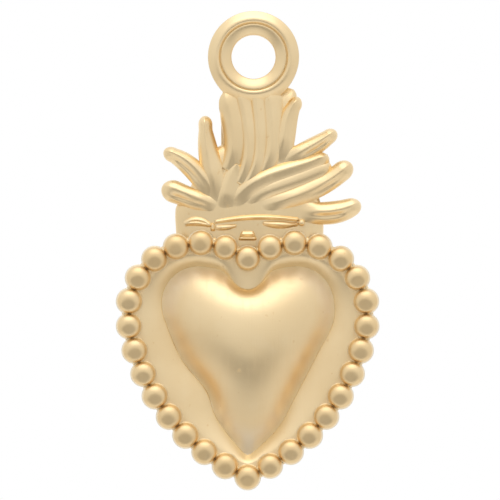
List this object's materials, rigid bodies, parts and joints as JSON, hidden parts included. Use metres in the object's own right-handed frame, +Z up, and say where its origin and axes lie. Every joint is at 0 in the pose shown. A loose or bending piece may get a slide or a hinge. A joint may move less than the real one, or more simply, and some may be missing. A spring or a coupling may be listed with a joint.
{
  "type": "milagro charm",
  "caption": "Satin-gold milagro charm: a flaming heart with a raised hollow dome in a dished frame, a beaded rim, a ribboned neck, a crest of flames and a grooved hanging loop.",
  "frame": {"origin": "centre of the hanging loop's bore, half way through the loop's thickness", "axes": "+X to the viewer's right, +Z up along the charm towards the loop, the face looks to -Y and the flat back to +Y"},
  "size_m": [0.0185, 0.004, 0.0339],
  "materials": {
    "satin_gold": "satin",
    "polished_gold": "soft polished",
    "bead_gold": "polished",
    "flame_gold": "satin",
    "loop_gold": "polished",
    "back_gold": "brushed"
  },
  "bodies": {
    "root": {"back_plate": "back_gold", "centre_tab": "satin_gold", "crest_base": "satin_gold", "flame_left_low": "flame_gold", "flame_left_middle": "flame_gold", "flame_left_tall": "flame_gold", "flame_middle_1": "flame_gold", "flame_middle_2": "flame_gold", "flame_middle_3": "flame_gold", "flame_middle_4": "flame_gold", "flame_middle_5": "flame_gold", "flame_right_high": "flame_gold", "flame_right_inner": "flame_gold", "flame_right_low": "flame_gold", "flame_right_middle": "flame_gold", "flame_sweep": "flame_gold", "flame_trunk": "flame_gold", "hanging_loop": "loop_gold", "heart_dome": "polished_gold", "heart_frame": "satin_gold", "ribbon_bar": "satin_gold", "ribbon_knob": "satin_gold", "ribbon_knot": "satin_gold", "ribbon_left_loop": "satin_gold", "ribbon_right_loop": "satin_gold", "ribbon_tail": "satin_gold", "rim_bead_01": "bead_gold", "rim_bead_02": "bead_gold", "rim_bead_03": "bead_gold", "rim_bead_04": "bead_gold", "rim_bead_05": "bead_gold", "rim_bead_06": "bead_gold", "rim_bead_07": "bead_gold", "rim_bead_08": "bead_gold", "rim_bead_09": "bead_gold", "rim_bead_10": "bead_gold", "rim_bead_11": "bead_gold", "rim_bead_12": "bead_gold", "rim_bead_13": "bead_gold", "rim_bead_14": "bead_gold", "rim_bead_15": "bead_gold", "rim_bead_16": "bead_gold", "rim_bead_17": "bead_gold", "rim_bead_18": "bead_gold", "rim_bead_19": "bead_gold", "rim_bead_20": "bead_gold", "rim_bead_21": "bead_gold", "rim_bead_22": "bead_gold", "rim_bead_23": "bead_gold", "rim_bead_24": "bead_gold", "rim_bead_25": "bead_gold", "rim_bead_26": "bead_gold", "rim_bead_27": "bead_gold", "rim_bead_28": "bead_gold", "rim_bead_29": "bead_gold", "rim_bead_30": "bead_gold"}
  },
  "joints": []
}
